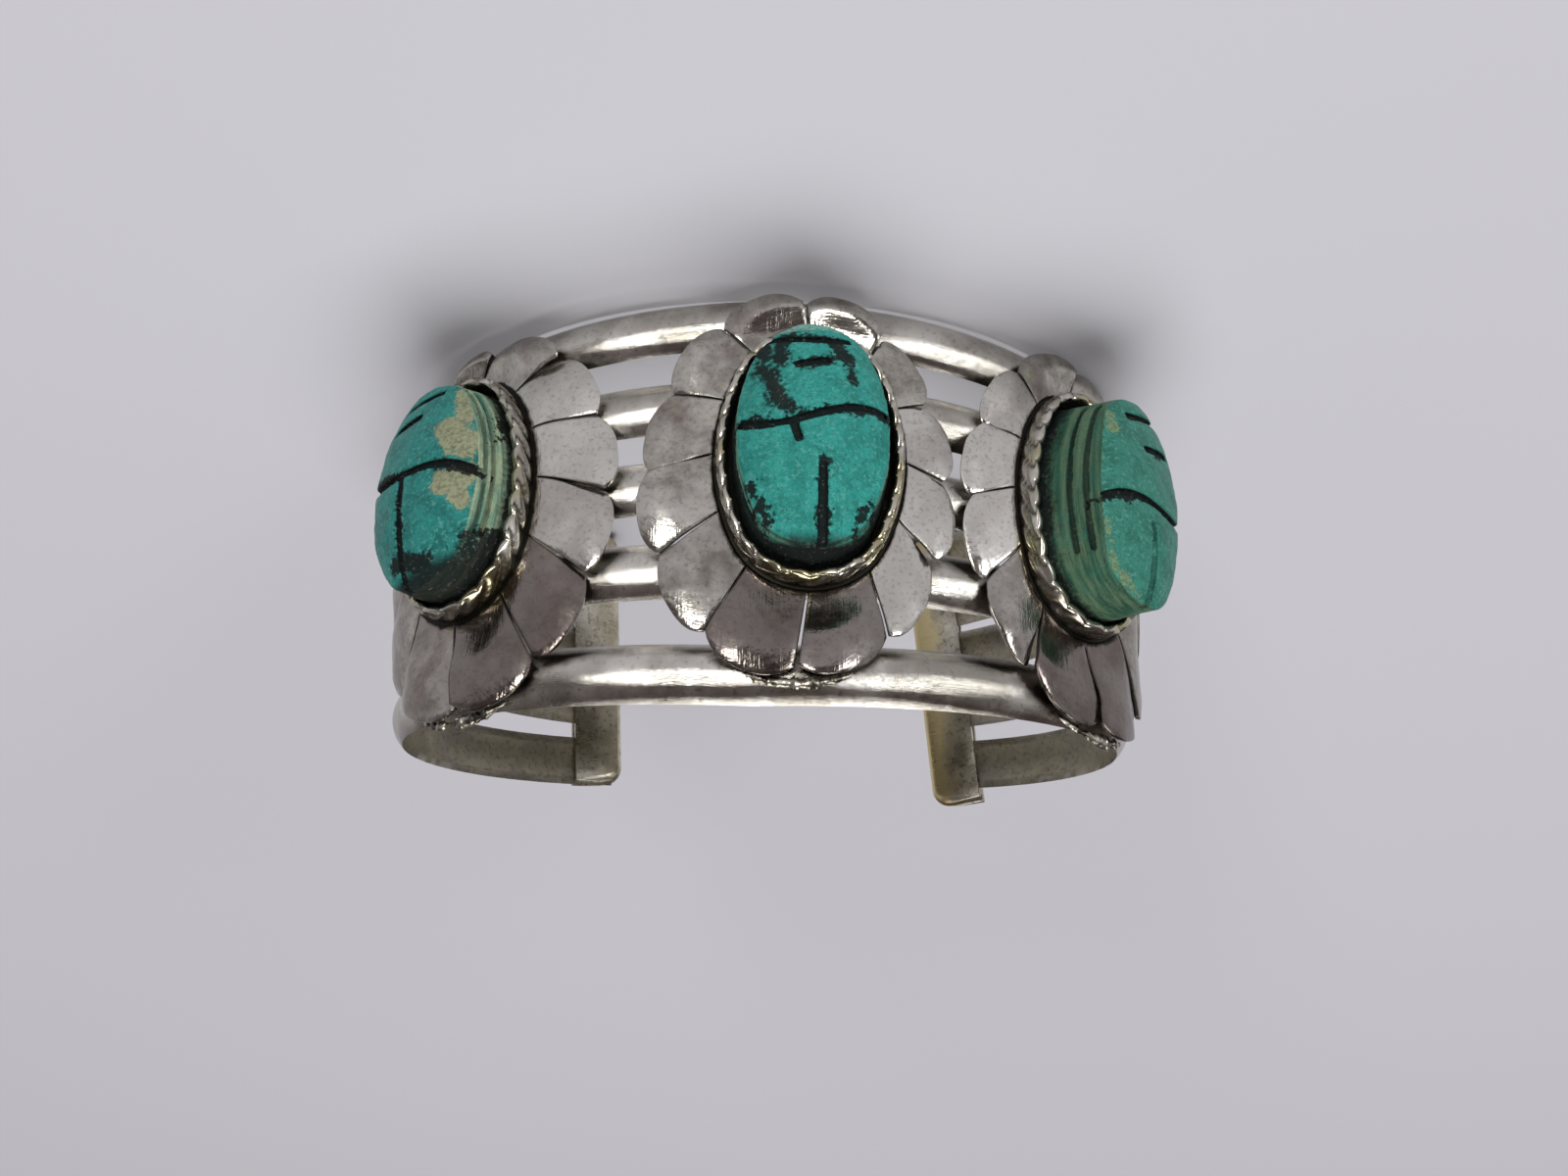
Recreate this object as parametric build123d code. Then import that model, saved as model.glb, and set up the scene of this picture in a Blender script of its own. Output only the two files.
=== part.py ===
from build123d import *
import math
import os
from bisect import bisect
from functools import lru_cache
from typing import NamedTuple

# Scarab cuff bracelet, in millimetres. Five half-round strips are bent to an open oval, drawn together
# towards their ends and soldered into two folded end caps. Three flower plates with twisted wire collars
# ride on the strips, and each collar holds a carved stone scarab with its head to the back edge.
# The cuff is worked out with the scarabs on top, x along the wrist's width, y along the arm towards the
# scarabs' heads and z up, and then laid on its back edge as it rests on a table.

# The oval that the strips' edges follow, and the width of the cuff along the arm
OVAL_WIDTH = 68.0
OVAL_HEIGHT = 39.3
END_GAP = 33.0
CUFF_WIDTH = 42.4
CUFF_END_WIDTH = 29.8
TAPER_POWER = 1.3

# The half-round strips, pressed flatter and narrower where they enter the caps
STRIP_WIDTH = 5.6
STRIP_END_WIDTH = 5.3
STRIP_RISE = 1.35
STRIP_END_RISE = 1.1
STRIP_WALL = 0.85
STRIP_SECTIONS = 17
# Each strip's place between the two edges, front to back, as a share of the way out from the middle
STRIP_PLACES = (-1.02, -0.475, 0.0, 0.475, 0.975)

# The folded end caps: both stand a little askew, and the right one reaches past the front strip
CAP_LENGTH = 5.2
CAP_WALL = 0.6
CAP_FOLD = 1.0
CAP_OVERHANG = 0.4
CAP_FRONT_LEFT = 0.1
CAP_FRONT_RIGHT = 2.2
CAP_SKEW = 5.0
CAP_CORNER = 1.8
CAP_FOLD_ROUNDNESS = 0.45
SOLDER_BITE = 0.12

# The flower plates: sheet cut into petals, each turned a little so that one edge stands up
FLOWER_WIDTH = 28.6
FLOWER_LENGTH = 40.0
FLOWER_SHIFT = 3.7
FLOWER_GAP_LEFT = 1.6
FLOWER_GAP_RIGHT = 0.3
PETALS = 12
PETAL_ROUNDING = 1.3
PETAL_TURN = 0.22
PETAL_SLIT = 0.25
SHEET = 0.45
PETAL_BEND = 1.5
PLATE_CLEARANCE = 0.12
PETAL_COLUMNS = 8
PETAL_ROWS = 4

# The twisted collar round each stone, flattened between rollers so that it stands up like a ribbon
COLLAR_HEIGHT = 2.2
COLLAR_THICKNESS = 1.1
COLLAR_FLATNESS = 0.55
COLLAR_PITCH = 2.2
COLLAR_STEPS = 6
COLLAR_FOOT_MARGIN = 0.15

# The scarabs: a steep flank, a low crown and carved grooves
SCARAB_WIDTH = 14.2
SCARAB_LENGTH = 23.6
SCARAB_CLEARANCE = 0.3
SEAT_CLEARANCE = 0.1
CROWN_SPREAD = 1.2
GROOVE_WIDTH = 0.8
GROOVE_DEPTH = 0.5
GROOVE_DROP = 0.8
FLANK_GROOVES = 2
FLANK_GROOVE_WIDTH = 0.5
FLANK_GROOVE_REACH = 0.72

# How full an oval is: the radius of its round ends as a share of its half width
OVAL_FULLNESS = 0.82


class Setting(NamedTuple):
    """Where one flower and its stone sit, in millimetres and degrees."""

    name: str
    along: float
    plate_y: float
    collar_u: float
    collar_y: float
    collar_turn: float


class Stone(NamedTuple):
    """Form of one scarab: the crown's edge against the foot, the heights and the carved strokes."""

    side_draft: float
    end_draft: float
    shift_x: float
    shift_y: float
    twist: float
    flank: float
    crown: float
    strokes: tuple


FLOWER_STEP_LEFT = FLOWER_WIDTH + FLOWER_GAP_LEFT
FLOWER_STEP_RIGHT = FLOWER_WIDTH + FLOWER_GAP_RIGHT
SETTINGS = (
    Setting("left", FLOWER_SHIFT - FLOWER_STEP_LEFT, -1.4, -2.2, 3.0, 11.5),
    Setting("centre", FLOWER_SHIFT, -0.1, 1.05, 1.9, 0.0),
    Setting("right", FLOWER_SHIFT + FLOWER_STEP_RIGHT, -0.7, -0.6, 2.3, -10.0),
)

# Strokes of the carver, each a row of points on the stone's plan: the line behind the head shield, the
# line between the wing cases and the cuts on the head
LEFT_STROKES = (
    ((-8.0, 2.9), (-1.6, -0.2), (2.8, -1.0), (6.6, -3.5)),
    ((-1.4, -0.6), (-2.1, -4.8), (-3.2, -13.0)),
    ((-2.4, 8.7), (2.8, 8.4)),
    ((-3.4, 6.5), (0.7, 6.1)),
)
CENTRE_STROKES = (
    ((-6.5, 0.0), (-2.7, -0.8), (1.4, 0.5), (6.4, 1.4)),
    ((0.7, -4.6), (0.9, -13.0)),
    ((-1.8, 5.4), (1.3, 6.1)),
    ((-1.9, -0.8), (-1.3, -2.8)),
    ((-4.5, 9.5), (-2.0, 8.8), (3.2, 9.2)),
)
RIGHT_STROKES = (
    ((-4.4, -3.7), (-2.7, -2.5), (0.4, -1.9), (8.0, 0.8)),
    ((1.1, -3.8), (1.7, -6.2), (2.1, -13.0)),
    ((-2.1, 7.2), (3.8, 9.7)),
    ((-0.2, 4.0), (4.2, 6.0)),
)
STONES = {
    "left": Stone(0.2, 0.7, -0.5, -0.6, -4.0, 4.8, 2.2, LEFT_STROKES),
    "centre": Stone(0.4, 0.5, 0.0, 0.0, 0.0, 4.6, 2.6, CENTRE_STROKES),
    "right": Stone(1.5, 0.7, 0.8, -0.9, 4.0, 6.6, 1.5, RIGHT_STROKES),
}

HALF_WIDTH = OVAL_WIDTH / 2
HALF_HEIGHT = OVAL_HEIGHT / 2
END_TURN = math.pi - math.asin(END_GAP / OVAL_WIDTH)
SEAT_HEIGHT = STRIP_RISE + PLATE_CLEARANCE
PLATE_HEIGHT = SEAT_HEIGHT + PETAL_TURN
TABLE_STEPS = 720


def lean(turn):
    """Angle between the oval's outward direction and straight up."""
    return math.atan2(HALF_HEIGHT * math.sin(turn), HALF_WIDTH * math.cos(turn))


def oval_plane(turn, y=0.0, height=0.0):
    """Plane across the strips: its x runs along the arm, its y points out of the cuff."""
    angle = lean(turn)
    outward = Vector(math.sin(angle), 0, math.cos(angle))
    edge = Vector(HALF_WIDTH * math.sin(turn), y, HALF_HEIGHT * math.cos(turn))
    along = Vector(math.cos(angle), 0, -math.sin(angle))
    return Plane(origin=edge + outward * height, x_dir=(0, 1, 0), z_dir=along)


@lru_cache
def length_table(height):
    """Lengths along the oval raised by a height, from its top, and the turns that they end at."""
    step = 2 * math.pi / TABLE_STEPS
    turns = [step * i - math.pi for i in range(TABLE_STEPS + 1)]
    lengths = [0.0]
    for turn in turns[1:]:
        middle = turn - step / 2
        run = math.hypot(HALF_WIDTH * math.cos(middle), HALF_HEIGHT * math.sin(middle)) * step
        lengths.append(lengths[-1] + run)
    top = lengths[TABLE_STEPS // 2]
    raised = [length - top + height * lean(turn) for length, turn in zip(lengths, turns)]
    return raised, turns


def turn_at(length, height):
    """The oval's turn at a length from its top, measured along the oval raised by a height."""
    lengths, turns = length_table(height)
    after = min(max(bisect(lengths, length), 1), TABLE_STEPS)
    share = (length - lengths[after - 1]) / (lengths[after] - lengths[after - 1])
    return turns[after - 1] + share * (turns[after] - turns[after - 1])


def taper(turn):
    """How far the cuff has closed from its full width, 0 at the top and 1 at the ends."""
    return (abs(turn) / END_TURN) ** TAPER_POWER


def between(start, end, share):
    return start + (end - start) * share


def strip_section(turn, place):
    """Crescent section of one strip, its two feet on the oval."""
    share = taper(turn)
    half = between(STRIP_WIDTH, STRIP_END_WIDTH, share) / 2
    rise = between(STRIP_RISE, STRIP_END_RISE, share)
    edge = between(CUFF_WIDTH, CUFF_END_WIDTH, share) / 2
    foot = half - STRIP_WALL
    outer = ThreePointArc((-half, 0), (0, rise), (half, 0))
    inner = ThreePointArc((foot, 0), (0, rise - STRIP_WALL), (-foot, 0))
    outline = Wire([outer, Line((half, 0), (foot, 0)), inner, Line((-foot, 0), (-half, 0))])
    return oval_plane(turn, place * (edge - half)) * Face(outline)


def strip(place):
    """One strip, from inside one end cap to inside the other."""
    reach = arc_end() - CAP_FOLD + SOLDER_BITE
    skew = place * (CUFF_END_WIDTH - STRIP_END_WIDTH) / 2 * math.tan(math.radians(CAP_SKEW))
    first = turn_at(skew - reach, 0.0)
    last = turn_at(skew + reach, 0.0)
    turns = [between(first, last, i / (STRIP_SECTIONS - 1)) for i in range(STRIP_SECTIONS)]
    return loft([strip_section(turn, place) for turn in turns])


def arc_end():
    """Length of the oval from its top to the far face of an end cap."""
    lengths, turns = length_table(0.0)
    after = bisect(turns, END_TURN)
    share = (END_TURN - turns[after - 1]) / (turns[after] - turns[after - 1])
    return between(lengths[after - 1], lengths[after], share)


def end_cap(front, skew):
    """Plate folded over the strips' ends at the right, its two leaves soldered to them."""
    width = CUFF_END_WIDTH + CAP_OVERHANG + front
    slot = STRIP_END_RISE - 2 * SOLDER_BITE
    depth = slot + 2 * CAP_WALL
    profile = Rectangle(depth, CAP_LENGTH)
    profile = fillet(profile.vertices().group_by(Axis.Y)[-1], depth * CAP_FOLD_ROUNDNESS)
    profile = profile - Pos(0, -CAP_FOLD) * Rectangle(slot, CAP_LENGTH)
    outline = Rectangle(width, CAP_LENGTH)
    outline = fillet(outline.vertices().group_by(Axis.Y)[-1], CAP_CORNER)
    folded = extrude(Plane.YZ * profile, width / 2, both=True)
    rounded = extrude(Plane.XZ * outline, depth, both=True)
    middle = turn_at(arc_end() - CAP_LENGTH / 2, 0.0)
    plane = oval_plane(middle, 0.0, STRIP_END_RISE / 2)
    return plane * Rot(0, skew, 0) * Pos((CAP_OVERHANG - front) / 2, 0, 0) * (folded & rounded)


def cuff():
    """Strips and end caps, soldered into one piece."""
    metal = end_cap(CAP_FRONT_RIGHT, -CAP_SKEW) + mirror(end_cap(CAP_FRONT_LEFT, CAP_SKEW), Plane.YZ)
    for place in STRIP_PLACES:
        metal = metal + strip(place)
    return metal


class Oval:
    """An oval of four tangent arcs with its length along y, walked clockwise from its top."""

    def __init__(self, width, length, offset=0.0):
        half = width / 2
        end_radius = OVAL_FULLNESS * half
        self.end_centre = length / 2 - end_radius
        reach = half**2 + self.end_centre**2 - end_radius**2
        self.side_centre = reach / (2 * (half - end_radius)) - half
        self.side_radius = self.side_centre + half + offset
        self.end_radius = end_radius + offset
        self.corner = math.atan2(self.end_centre, self.side_centre)
        self.end_run = self.end_radius * (math.pi / 2 - self.corner)
        self.quarter = self.end_run + self.side_radius * self.corner

    def place(self, share):
        """Point and outward direction at a share of the way round, each as (x, y)."""
        quarter, part = divmod(share % 1 * 4, 1)
        run = self.quarter * (part if quarter in (0, 2) else 1 - part)
        across = 1 if quarter < 2 else -1
        up = 1 if quarter in (0, 3) else -1
        if run < self.end_run:
            angle = math.pi / 2 - run / self.end_radius
            centre, radius = (0, self.end_centre), self.end_radius
        else:
            angle = self.corner - (run - self.end_run) / self.side_radius
            centre, radius = (-self.side_centre, 0), self.side_radius
        out = (math.cos(angle), math.sin(angle))
        point = (centre[0] + radius * out[0], centre[1] + radius * out[1])
        return (across * point[0], up * point[1]), (across * out[0], up * out[1])

    def face(self):
        """The oval as a face, one arc for each end and each side."""
        end = self.end_run / (4 * self.quarter)
        stops = (-end, 0, end, 0.25, 0.5 - end, 0.5, 0.5 + end, 0.75, 1 - end)
        points = [self.place(stop)[0] for stop in stops]
        return Face(Wire([ThreePointArc(*points[i : i + 3]) for i in (0, 2, 4, 6)]))


def seat_plane(setting):
    """Plane of the flat seat under a stone, x along the oval, y along the arm, z outwards."""
    turn = turn_at(setting.along + setting.collar_u, PLATE_HEIGHT)
    across = oval_plane(turn, setting.plate_y + setting.collar_y, SEAT_HEIGHT + SHEET)
    return Plane(origin=across.origin, x_dir=across.z_dir, z_dir=across.y_dir)


def turned_seat(setting):
    """The seat with its y along the stone instead of along the arm."""
    return Plane(Location(seat_plane(setting)) * Rot(0, 0, setting.collar_turn))


def facets(*corners):
    """Triangles of a polygon that fans out from its first corner."""
    return [
        Face(Wire.make_polygon([corners[0], corners[i], corners[i + 1]]))
        for i in range(1, len(corners) - 1)
    ]


def closed_solid(faces):
    return Solid(Shell(faces))


def collar_path(offset):
    """The stone's foot seen from above, grown by an offset."""
    return Oval(SCARAB_WIDTH, SCARAB_LENGTH, offset)


def petal_root(setting, share):
    """Where a petal leaves the collar, on the plate's own axes."""
    foot = collar_path(SCARAB_CLEARANCE + COLLAR_THICKNESS + COLLAR_FOOT_MARGIN)
    (x, y), _ = foot.place(share + setting.collar_turn / 360)
    angle = math.radians(setting.collar_turn)
    return (
        x * math.cos(angle) - y * math.sin(angle),
        x * math.sin(angle) + y * math.cos(angle),
    )


def petal_point(setting, seat, petal, column, row, top):
    """One point of a petal's upper or lower side: level at the collar, on the strips at the tip."""
    turned = 2 * column / PETAL_COLUMNS - 1
    tips = Oval(FLOWER_WIDTH, FLOWER_LENGTH)
    slit = turned * PETAL_SLIT / 2 / (4 * tips.quarter) if row else 0.0
    share = (petal + column / PETAL_COLUMNS) / PETALS - slit
    root_u, root_v = petal_root(setting, share)
    (tip_u, tip_v), _ = tips.place(share)
    tip_u -= setting.collar_u
    tip_v -= setting.collar_y
    length = math.hypot(tip_u - root_u, tip_v - root_v)
    out = row / PETAL_ROWS * (1 - PETAL_ROUNDING / length * abs(turned) ** 3)
    u = between(root_u, tip_u, out)
    v = between(root_v, tip_v, out)
    rise = SHEET if top else 0.0
    level = seat.from_local_coords(Vector(u, v, rise - SHEET))
    lift = PETAL_TURN * turned * out
    turn = turn_at(setting.along + setting.collar_u + u, PLATE_HEIGHT)
    bent = oval_plane(turn, setting.plate_y + setting.collar_y + v, PLATE_HEIGHT + lift + rise).origin
    near = min(1.0, PETAL_BEND * out)
    share_bent = near * near * (3 - 2 * near)
    return level + (bent - level) * share_bent


def flower_plate(setting):
    """Sheet with petals round a flat seat, as flat triangles that meet edge to edge."""
    seat = seat_plane(setting)
    side = {}
    for top in (True, False):
        for petal in range(PETALS):
            for column in range(PETAL_COLUMNS + 1):
                for row in range(PETAL_ROWS + 1):
                    key = (petal, column, row, top)
                    side[key] = petal_point(setting, seat, *key)
    faces = []
    for petal in range(PETALS):
        for row in range(PETAL_ROWS):
            for column in range(PETAL_COLUMNS):
                ring = ((column, row), (column, row + 1), (column + 1, row + 1), (column + 1, row))
                faces += facets(*[side[petal, c, r, True] for c, r in ring])
                faces += facets(*[side[petal, c, r, False] for c, r in reversed(ring)])
            for column, order in ((0, 1), (PETAL_COLUMNS, -1)):
                wall = ((row, True), (row, False), (row + 1, False), (row + 1, True))[::order]
                faces += facets(*[side[petal, column, r, top] for r, top in wall])
        for column in range(PETAL_COLUMNS):
            wall = ((column, True), (column, False), (column + 1, False), (column + 1, True))
            faces += facets(*[side[petal, c, PETAL_ROWS, top] for c, top in wall])
    for top in (True, False):
        rim = [side[p, c, 0, top] for p in range(PETALS) for c in range(PETAL_COLUMNS)]
        faces.append(Face(Wire.make_polygon(rim if top else rim[::-1])))
    return closed_solid(faces)


def collar(setting):
    """Flattened twisted ribbon in a closed ring, its underside soldered into the seat."""
    seat = turned_seat(setting)
    path = collar_path(SCARAB_CLEARANCE + COLLAR_THICKNESS / 2)
    half_turns = 2 * round(4 * path.quarter / COLLAR_PITCH / 2)
    steps = half_turns * COLLAR_STEPS
    tall = COLLAR_HEIGHT / 2 / math.hypot(1, COLLAR_FLATNESS)
    thin = tall * COLLAR_FLATNESS
    squeeze = COLLAR_THICKNESS / COLLAR_HEIGHT
    rings = []
    for step in range(steps):
        (u, v), (out_u, out_v) = path.place(step / steps)
        angle = math.pi * half_turns * step / steps
        ring = []
        for x, y in ((thin, tall), (-thin, tall), (-thin, -tall), (thin, -tall)):
            out = squeeze * (x * math.cos(angle) - y * math.sin(angle))
            up = x * math.sin(angle) + y * math.cos(angle) + COLLAR_HEIGHT / 2 - SOLDER_BITE
            ring.append(seat.from_local_coords(Vector(u + out * out_u, v + out * out_v, up)))
        rings.append(ring)
    faces = []
    for step in range(steps):
        near, far = rings[step - 1], rings[step]
        for i in range(4):
            faces += facets(near[i], far[i], far[i - 1], near[i - 1])
    return closed_solid(faces)


def crown_edge(stone, height, less):
    """Outline of the stone's flank carried straight up to a height."""
    reach = height / stone.flank
    width = SCARAB_WIDTH - 2 * stone.side_draft * reach
    length = SCARAB_LENGTH - 2 * stone.end_draft * reach
    place = Pos(stone.shift_x * reach, stone.shift_y * reach, height) * Rot(0, 0, stone.twist * reach)
    return place * Oval(width, length, -less).face()


def stone_form(stone, less=0.0):
    """Steep flank under a low crown, smaller all round by a depth."""
    summit = stone.flank + stone.crown
    flank = loft([crown_edge(stone, 0.0, less), crown_edge(stone, summit, less)], ruled=True)
    spread_x = CROWN_SPREAD * (SCARAB_WIDTH / 2 - stone.side_draft)
    spread_y = CROWN_SPREAD * (SCARAB_LENGTH / 2 - stone.end_draft)
    spread_z = stone.crown / (1 - math.sqrt(1 - CROWN_SPREAD**-2))
    over = extrude(Rectangle(2 * SCARAB_LENGTH, 2 * SCARAB_LENGTH), SCARAB_LENGTH)
    over = over - scale(Sphere(1), by=(spread_x, spread_y, spread_z))
    middle = Pos(stone.shift_x, stone.shift_y, summit - spread_z - less)
    return flank - middle * Rot(0, 0, stone.twist) * over


def stroke_blade(stone, points):
    """Upright blade along a carver's stroke, from a little below the crown's edge upwards."""
    line = Spline(*points) if len(points) > 2 else Line(*points)
    ribbon = Pos(0, 0, stone.flank - GROOVE_DROP) * trace(line, GROOVE_WIDTH)
    return extrude(ribbon, SCARAB_LENGTH)


def flank_blade(stone, number):
    """Level blade that marks the legs along both flanks."""
    step = (stone.flank - COLLAR_HEIGHT) / (FLANK_GROOVES + 1)
    length = FLANK_GROOVE_REACH * SCARAB_LENGTH
    return Pos(0, 0, COLLAR_HEIGHT + step * number) * Box(2 * SCARAB_WIDTH, length, FLANK_GROOVE_WIDTH)


def scarab(setting):
    """One carved stone in its collar."""
    stone = STONES[setting.name]
    blades = [stroke_blade(stone, points) for points in stone.strokes]
    blades += [flank_blade(stone, number) for number in range(1, FLANK_GROOVES + 1)]
    core = stone_form(stone, GROOVE_DEPTH)
    carved = stone_form(stone)
    for blade in blades:
        carved = carved - (blade - core)
    return Location(turned_seat(setting)) * Pos(0, 0, SEAT_CLEARANCE) * carved


def laid_down():
    """Turn that lays the cuff on the top of its back strip and on the back edges of its two caps."""
    back = end_cap(CAP_FRONT_RIGHT, -CAP_SKEW).bounding_box().max.Y
    low = -HALF_HEIGHT * math.sin(END_TURN - math.pi / 2)
    top = (STRIP_PLACES[-1] * (CUFF_WIDTH - STRIP_WIDTH) + STRIP_WIDTH) / 2
    tilt = math.atan2(top - back, HALF_HEIGHT - low)
    table = Plane(origin=(0, 0, 0), x_dir=(-1, 0, 0), z_dir=(0, -math.cos(tilt), math.sin(tilt)))
    return Location(table).inverse()


def build():
    """Every piece in its place, with the origin under the middle of the whole."""
    pieces = {"cuff": cuff()}
    for setting in SETTINGS:
        pieces["flower_" + setting.name] = flower_plate(setting) + collar(setting)
        pieces["scarab_" + setting.name] = scarab(setting)
    laid = {name: laid_down() * piece for name, piece in pieces.items()}
    box = Compound(children=[Compound(piece.wrapped) for piece in laid.values()]).bounding_box()
    centre = box.center()
    return {name: Pos(-centre.X, -centre.Y, -box.min.Z) * piece for name, piece in laid.items()}


os.makedirs("parts", exist_ok=True)
for node, piece in build().items():
    export_step(piece, f"parts/{node}.step")
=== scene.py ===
import math

import bpy
import numpy as np
from mathutils import Matrix, Vector, noise
from mathutils.bvhtree import BVHTree


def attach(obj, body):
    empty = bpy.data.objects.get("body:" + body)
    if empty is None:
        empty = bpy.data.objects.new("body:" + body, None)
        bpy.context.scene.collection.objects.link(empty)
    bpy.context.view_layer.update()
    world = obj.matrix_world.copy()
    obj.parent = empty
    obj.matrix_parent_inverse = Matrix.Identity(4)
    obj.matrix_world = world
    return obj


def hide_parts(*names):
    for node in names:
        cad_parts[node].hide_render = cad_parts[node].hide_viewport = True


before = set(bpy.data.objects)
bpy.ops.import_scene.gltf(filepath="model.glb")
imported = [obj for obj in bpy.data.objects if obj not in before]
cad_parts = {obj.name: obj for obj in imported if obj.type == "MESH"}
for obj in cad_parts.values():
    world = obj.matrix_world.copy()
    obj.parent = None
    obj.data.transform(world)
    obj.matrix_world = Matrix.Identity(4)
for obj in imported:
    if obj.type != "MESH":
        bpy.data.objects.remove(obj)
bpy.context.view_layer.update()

# Camera, floor and light. The cuff lies on its back edge on a pale table, and the camera looks at the
# stones from the side and above, at the angle that the cuff is seen from when it stands on its ends.
CAMERA_PLACE = (-0.004596, -0.121426, 0.108533)
CAMERA_TURN = (-54.1686, 1.2707, 179.1091)
FOCAL_LENGTH = 35.1
bpy.ops.object.camera_add(location=CAMERA_PLACE, rotation=[math.radians(angle) for angle in CAMERA_TURN])
camera = bpy.context.active_object
camera.data.lens = FOCAL_LENGTH
camera.data.sensor_width = 36.0
camera.data.clip_start = 0.005
bpy.context.scene.camera = camera
bpy.context.scene.view_settings.view_transform = "Standard"


class Socket:
    """A shader socket that adds Math nodes when it is reckoned with."""

    def __init__(self, tree, link=None):
        self.tree = tree
        self.link = link

    def node(self, kind, settings=None, inputs=None, output=0):
        made = self.tree.nodes.new(kind)
        for name, value in (settings or {}).items():
            setattr(made, name, value)
        for key, value in (inputs or {}).items():
            if isinstance(value, Socket):
                self.tree.links.new(value.link, made.inputs[key])
            else:
                made.inputs[key].default_value = value
        return Socket(self.tree, made.outputs[output])

    def reckon(self, operation, *values, clamp=False):
        settings = {"operation": operation, "use_clamp": clamp}
        return self.node("ShaderNodeMath", settings, dict(enumerate(values)))

    def __add__(self, other):
        return self.reckon("ADD", self, other)

    __radd__ = __add__

    def __mul__(self, other):
        return self.reckon("MULTIPLY", self, other)

    __rmul__ = __mul__

    def __sub__(self, other):
        return self.reckon("SUBTRACT", self, other)

    def __rsub__(self, other):
        return self.reckon("SUBTRACT", other, self)

    def __truediv__(self, other):
        return self.reckon("DIVIDE", self, other)

    def __abs__(self):
        return self.reckon("ABSOLUTE", self)

    def at_most(self, other):
        return self.reckon("MINIMUM", self, other)

    def at_least(self, other):
        return self.reckon("MAXIMUM", self, other)

    def step(self, start, end):
        """Rise from 0 at the start to 1 at the end, softly and held there."""
        inputs = {"Value": self, "From Min": start, "From Max": end}
        return self.node("ShaderNodeMapRange", {"interpolation_type": "SMOOTHSTEP"}, inputs)

    def blend(self, first, second, way="MIX"):
        settings = {"data_type": "RGBA", "blend_type": way, "clamp_factor": True}
        return self.node("ShaderNodeMix", settings, {0: self, 6: first, 7: second}, 2)

    def grain(self, place, scale, detail=3.0, roughness=0.55, distortion=0.0):
        inputs = {"Vector": place, "Scale": scale, "Detail": detail}
        inputs |= {"Roughness": roughness, "Distortion": distortion}
        return self.node("ShaderNodeTexNoise", {}, inputs)

    def stretched(self, place, scale, turn=(0.0, 0.0, 0.0)):
        inputs = {"Vector": place, "Scale": scale, "Rotation": turn}
        return self.node("ShaderNodeMapping", {}, inputs)

    def facing(self, direction, aim, start, end):
        """Rise from 0 to 1 as a direction turns to an aim, between two cosines."""
        aim = Vector(aim).normalized()
        along = self.node("ShaderNodeVectorMath", {"operation": "DOT_PRODUCT"}, {0: direction, 1: aim}, 1)
        return along.step(start, end)

    def distance(self, x, y, line):
        """Distance of (x, y) from a straight line between two points, as x, y, x, y."""
        run = Vector((line[2] - line[0], line[3] - line[1]))
        off_x = x - line[0]
        off_y = y - line[1]
        share_x = off_x * (run.x / run.length**2)
        share_y = off_y * (run.y / run.length**2)
        share = self.reckon("ADD", share_x, share_y, clamp=True)
        off_x = off_x - share * run.x
        off_y = off_y - share * run.y
        return self.reckon("SQRT", off_x * off_x + off_y * off_y)

    def attribute(self, name, output="Fac"):
        return self.node("ShaderNodeAttribute", {"attribute_name": name}, {}, output)

    def parts(self, place):
        """The x, y and z of a place, each as a socket."""
        x = self.node("ShaderNodeSeparateXYZ", {}, {0: place})
        return [Socket(self.tree, output) for output in x.link.node.outputs]


def new_material(name):
    """A material, its own surface shader and a socket to start expressions from."""
    material = bpy.data.materials.new(name)
    material.use_nodes = True
    tree = material.node_tree
    return material, tree.nodes["Principled BSDF"], Socket(tree)


def feed(surface, **sockets):
    """Set or link the surface shader's sockets, given with _ for a space."""
    for name, value in sockets.items():
        socket = surface.inputs[name.replace("_", " ")]
        if isinstance(value, Socket):
            value.tree.links.new(value.link, socket)
        else:
            socket.default_value = value


FLOOR_SIZE = 8.0
bpy.ops.object.select_all(action="DESELECT")
bpy.ops.mesh.primitive_plane_add(size=FLOOR_SIZE)
floor = bpy.context.active_object
floor.name = "floor"
table, surface, start = new_material("pale_table")
feed(surface, Base_Color=(0.62, 0.62, 0.66, 1), Roughness=0.7, Specular_IOR_Level=0.2)
floor.data.materials.append(table)


def softbox(name, place, aim, size, watts, colour=(1, 1, 1)):
    """A square studio light that faces a point, all in metres."""
    bpy.ops.object.light_add(type="AREA", location=place)
    lamp = bpy.context.active_object
    lamp.name = name
    lamp.data.size = size
    lamp.data.energy = watts
    lamp.data.color = colour
    lamp.rotation_euler = (Vector(place) - Vector(aim)).to_track_quat("Z", "Y").to_euler()


MIDDLE = (0.0, 0.0, 0.02)
softbox("lamp_left", (0.17, -0.62, 0.15), MIDDLE, 0.16, 1.5)
softbox("lamp_right", (-0.40, -0.50, 0.14), MIDDLE, 0.20, 1.2, (0.95, 0.97, 1.0))
softbox("over_table", (-0.1, 0.2, 1.6), MIDDLE, 1.1, 20.0)

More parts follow.
